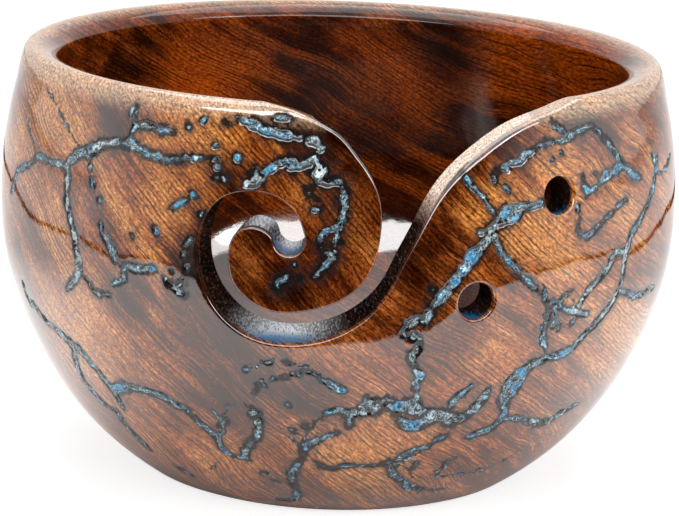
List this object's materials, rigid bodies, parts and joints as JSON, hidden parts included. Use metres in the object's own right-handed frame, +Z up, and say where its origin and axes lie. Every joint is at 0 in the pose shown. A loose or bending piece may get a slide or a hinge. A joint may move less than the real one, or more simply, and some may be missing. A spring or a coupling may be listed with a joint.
{
  "type": "yarn bowl",
  "caption": "Round wooden bowl that holds a ball of yarn, with a scroll-shaped slot and guide holes through its wall, and blue resin veins.",
  "frame": {"origin": "centre of the foot's underside, on the surface the bowl stands on", "axes": "+Z up; the scroll slot faces -Y; +X to the right as seen from the front"},
  "size_m": [0.152, 0.152, 0.095],
  "materials": {
    "wood": "gloss",
    "resin": "gloss"
  },
  "bodies": {
    "root": {"bowl_body": "wood", "upper_left_vein": "resin", "left_middle_vein": "resin", "scroll_crown_vein": "resin", "shoulder_vein": "resin", "guide_vein": "resin", "right_wall_vein": "resin", "right_middle_vein": "resin", "lower_left_vein": "resin", "foot_vein": "resin", "lower_crust_vein": "resin", "lower_right_vein": "resin", "back_upper_vein": "resin", "back_middle_vein": "resin", "back_lower_vein": "resin", "left_wall_beads": "resin", "upper_row_beads": "resin", "scroll_crown_beads": "resin", "scroll_heart_beads": "resin", "scroll_border_beads": "resin", "shoulder_beads": "resin", "right_middle_beads": "resin", "guide_hole_crack": "resin", "lower_left_beads": "resin", "dotted_arc": "resin", "lower_crust_beads": "resin", "lower_right_beads": "resin", "back_beads": "resin"}
  },
  "joints": []
}
